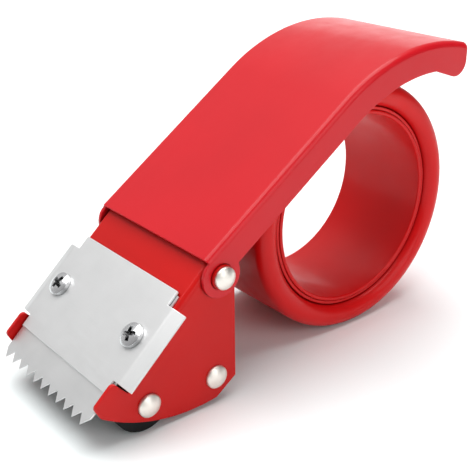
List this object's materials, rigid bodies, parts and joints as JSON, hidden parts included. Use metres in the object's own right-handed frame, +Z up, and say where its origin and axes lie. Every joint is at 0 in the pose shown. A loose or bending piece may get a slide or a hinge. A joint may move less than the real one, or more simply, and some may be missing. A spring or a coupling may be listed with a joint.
{
  "type": "packing tape dispenser",
  "caption": "Hand-held packing-tape dispenser: folded red steel head with serrated blade under a screwed clamp, rollers, turning tape hub on a side arm and a hinged handle.",
  "frame": {"origin": "on the standing surface, under the middle of the bounding box", "axes": "-X towards the cutting edge, +X towards the hub and the handle's tail, +Y towards the hub's side arm, -Y the open side where a roll is loaded, +Z up"},
  "size_m": [0.1354, 0.0556, 0.0851],
  "materials": {
    "red_head": "gloss red stove enamel",
    "red_handle": "gloss red stove enamel",
    "red_collar": "gloss red stove enamel",
    "red_sleeve": "gloss red stove enamel",
    "red_hub": "moulded red, gloss",
    "blade_steel": "rolled spring steel, ground teeth",
    "clamp_steel": "satin zinc plate, bright cut edges",
    "screw_steel": "polished nickel plate",
    "rivet_steel": "bright steel, headed over",
    "zinc_steel": "zinc plated",
    "roller_plastic": "black moulded nylon",
    "washer_plastic": "natural nylon",
    "black_rubber": "matt black rubber"
  },
  "bodies": {
    "head": {"head_frame": "red_head", "blade": "blade_steel", "clamp_plate": "clamp_steel", "clamp_screws": "screw_steel", "clamp_nuts": "zinc_steel", "clamp_nut_washers": "zinc_steel", "pivot_collar_near": "red_collar", "pivot_collar_far": "red_collar", "pivot_rivet_near": "rivet_steel", "pivot_rivet_far": "rivet_steel", "front_axle": "rivet_steel", "front_axle_washers": "zinc_steel", "rear_axle": "rivet_steel", "rear_axle_washers": "zinc_steel", "hub_sleeve": "red_sleeve", "hub_retainer": "red_sleeve", "hub_washer": "washer_plastic"},
    "handle": {"handle_shell": "red_handle"},
    "front_roller": {"front_roller_core": "roller_plastic", "front_roller_tyre": "black_rubber"},
    "rear_roller": {"rear_roller": "roller_plastic"},
    "hub": {"hub_ring": "red_hub"}
  },
  "joints": [
    {"name": "handle_hinge", "type": "hinge", "parent": "head", "child": "handle", "pos_m": [-0.02743, 0, 0.0375], "axis": [0, -1, 0], "range_deg": [0, 32]},
    {"name": "hub_spin", "type": "hinge", "parent": "head", "child": "hub", "pos_m": [0.03017, 0, 0.0375], "axis": [0, 1, 0], "continuous": true},
    {"name": "front_roller_spin", "type": "hinge", "parent": "head", "child": "front_roller", "pos_m": [-0.05013, 0, 0.0086], "axis": [0, 1, 0], "continuous": true},
    {"name": "rear_roller_spin", "type": "hinge", "parent": "head", "child": "rear_roller", "pos_m": [-0.02913, 0, 0.0084], "axis": [0, 1, 0], "continuous": true}
  ]
}
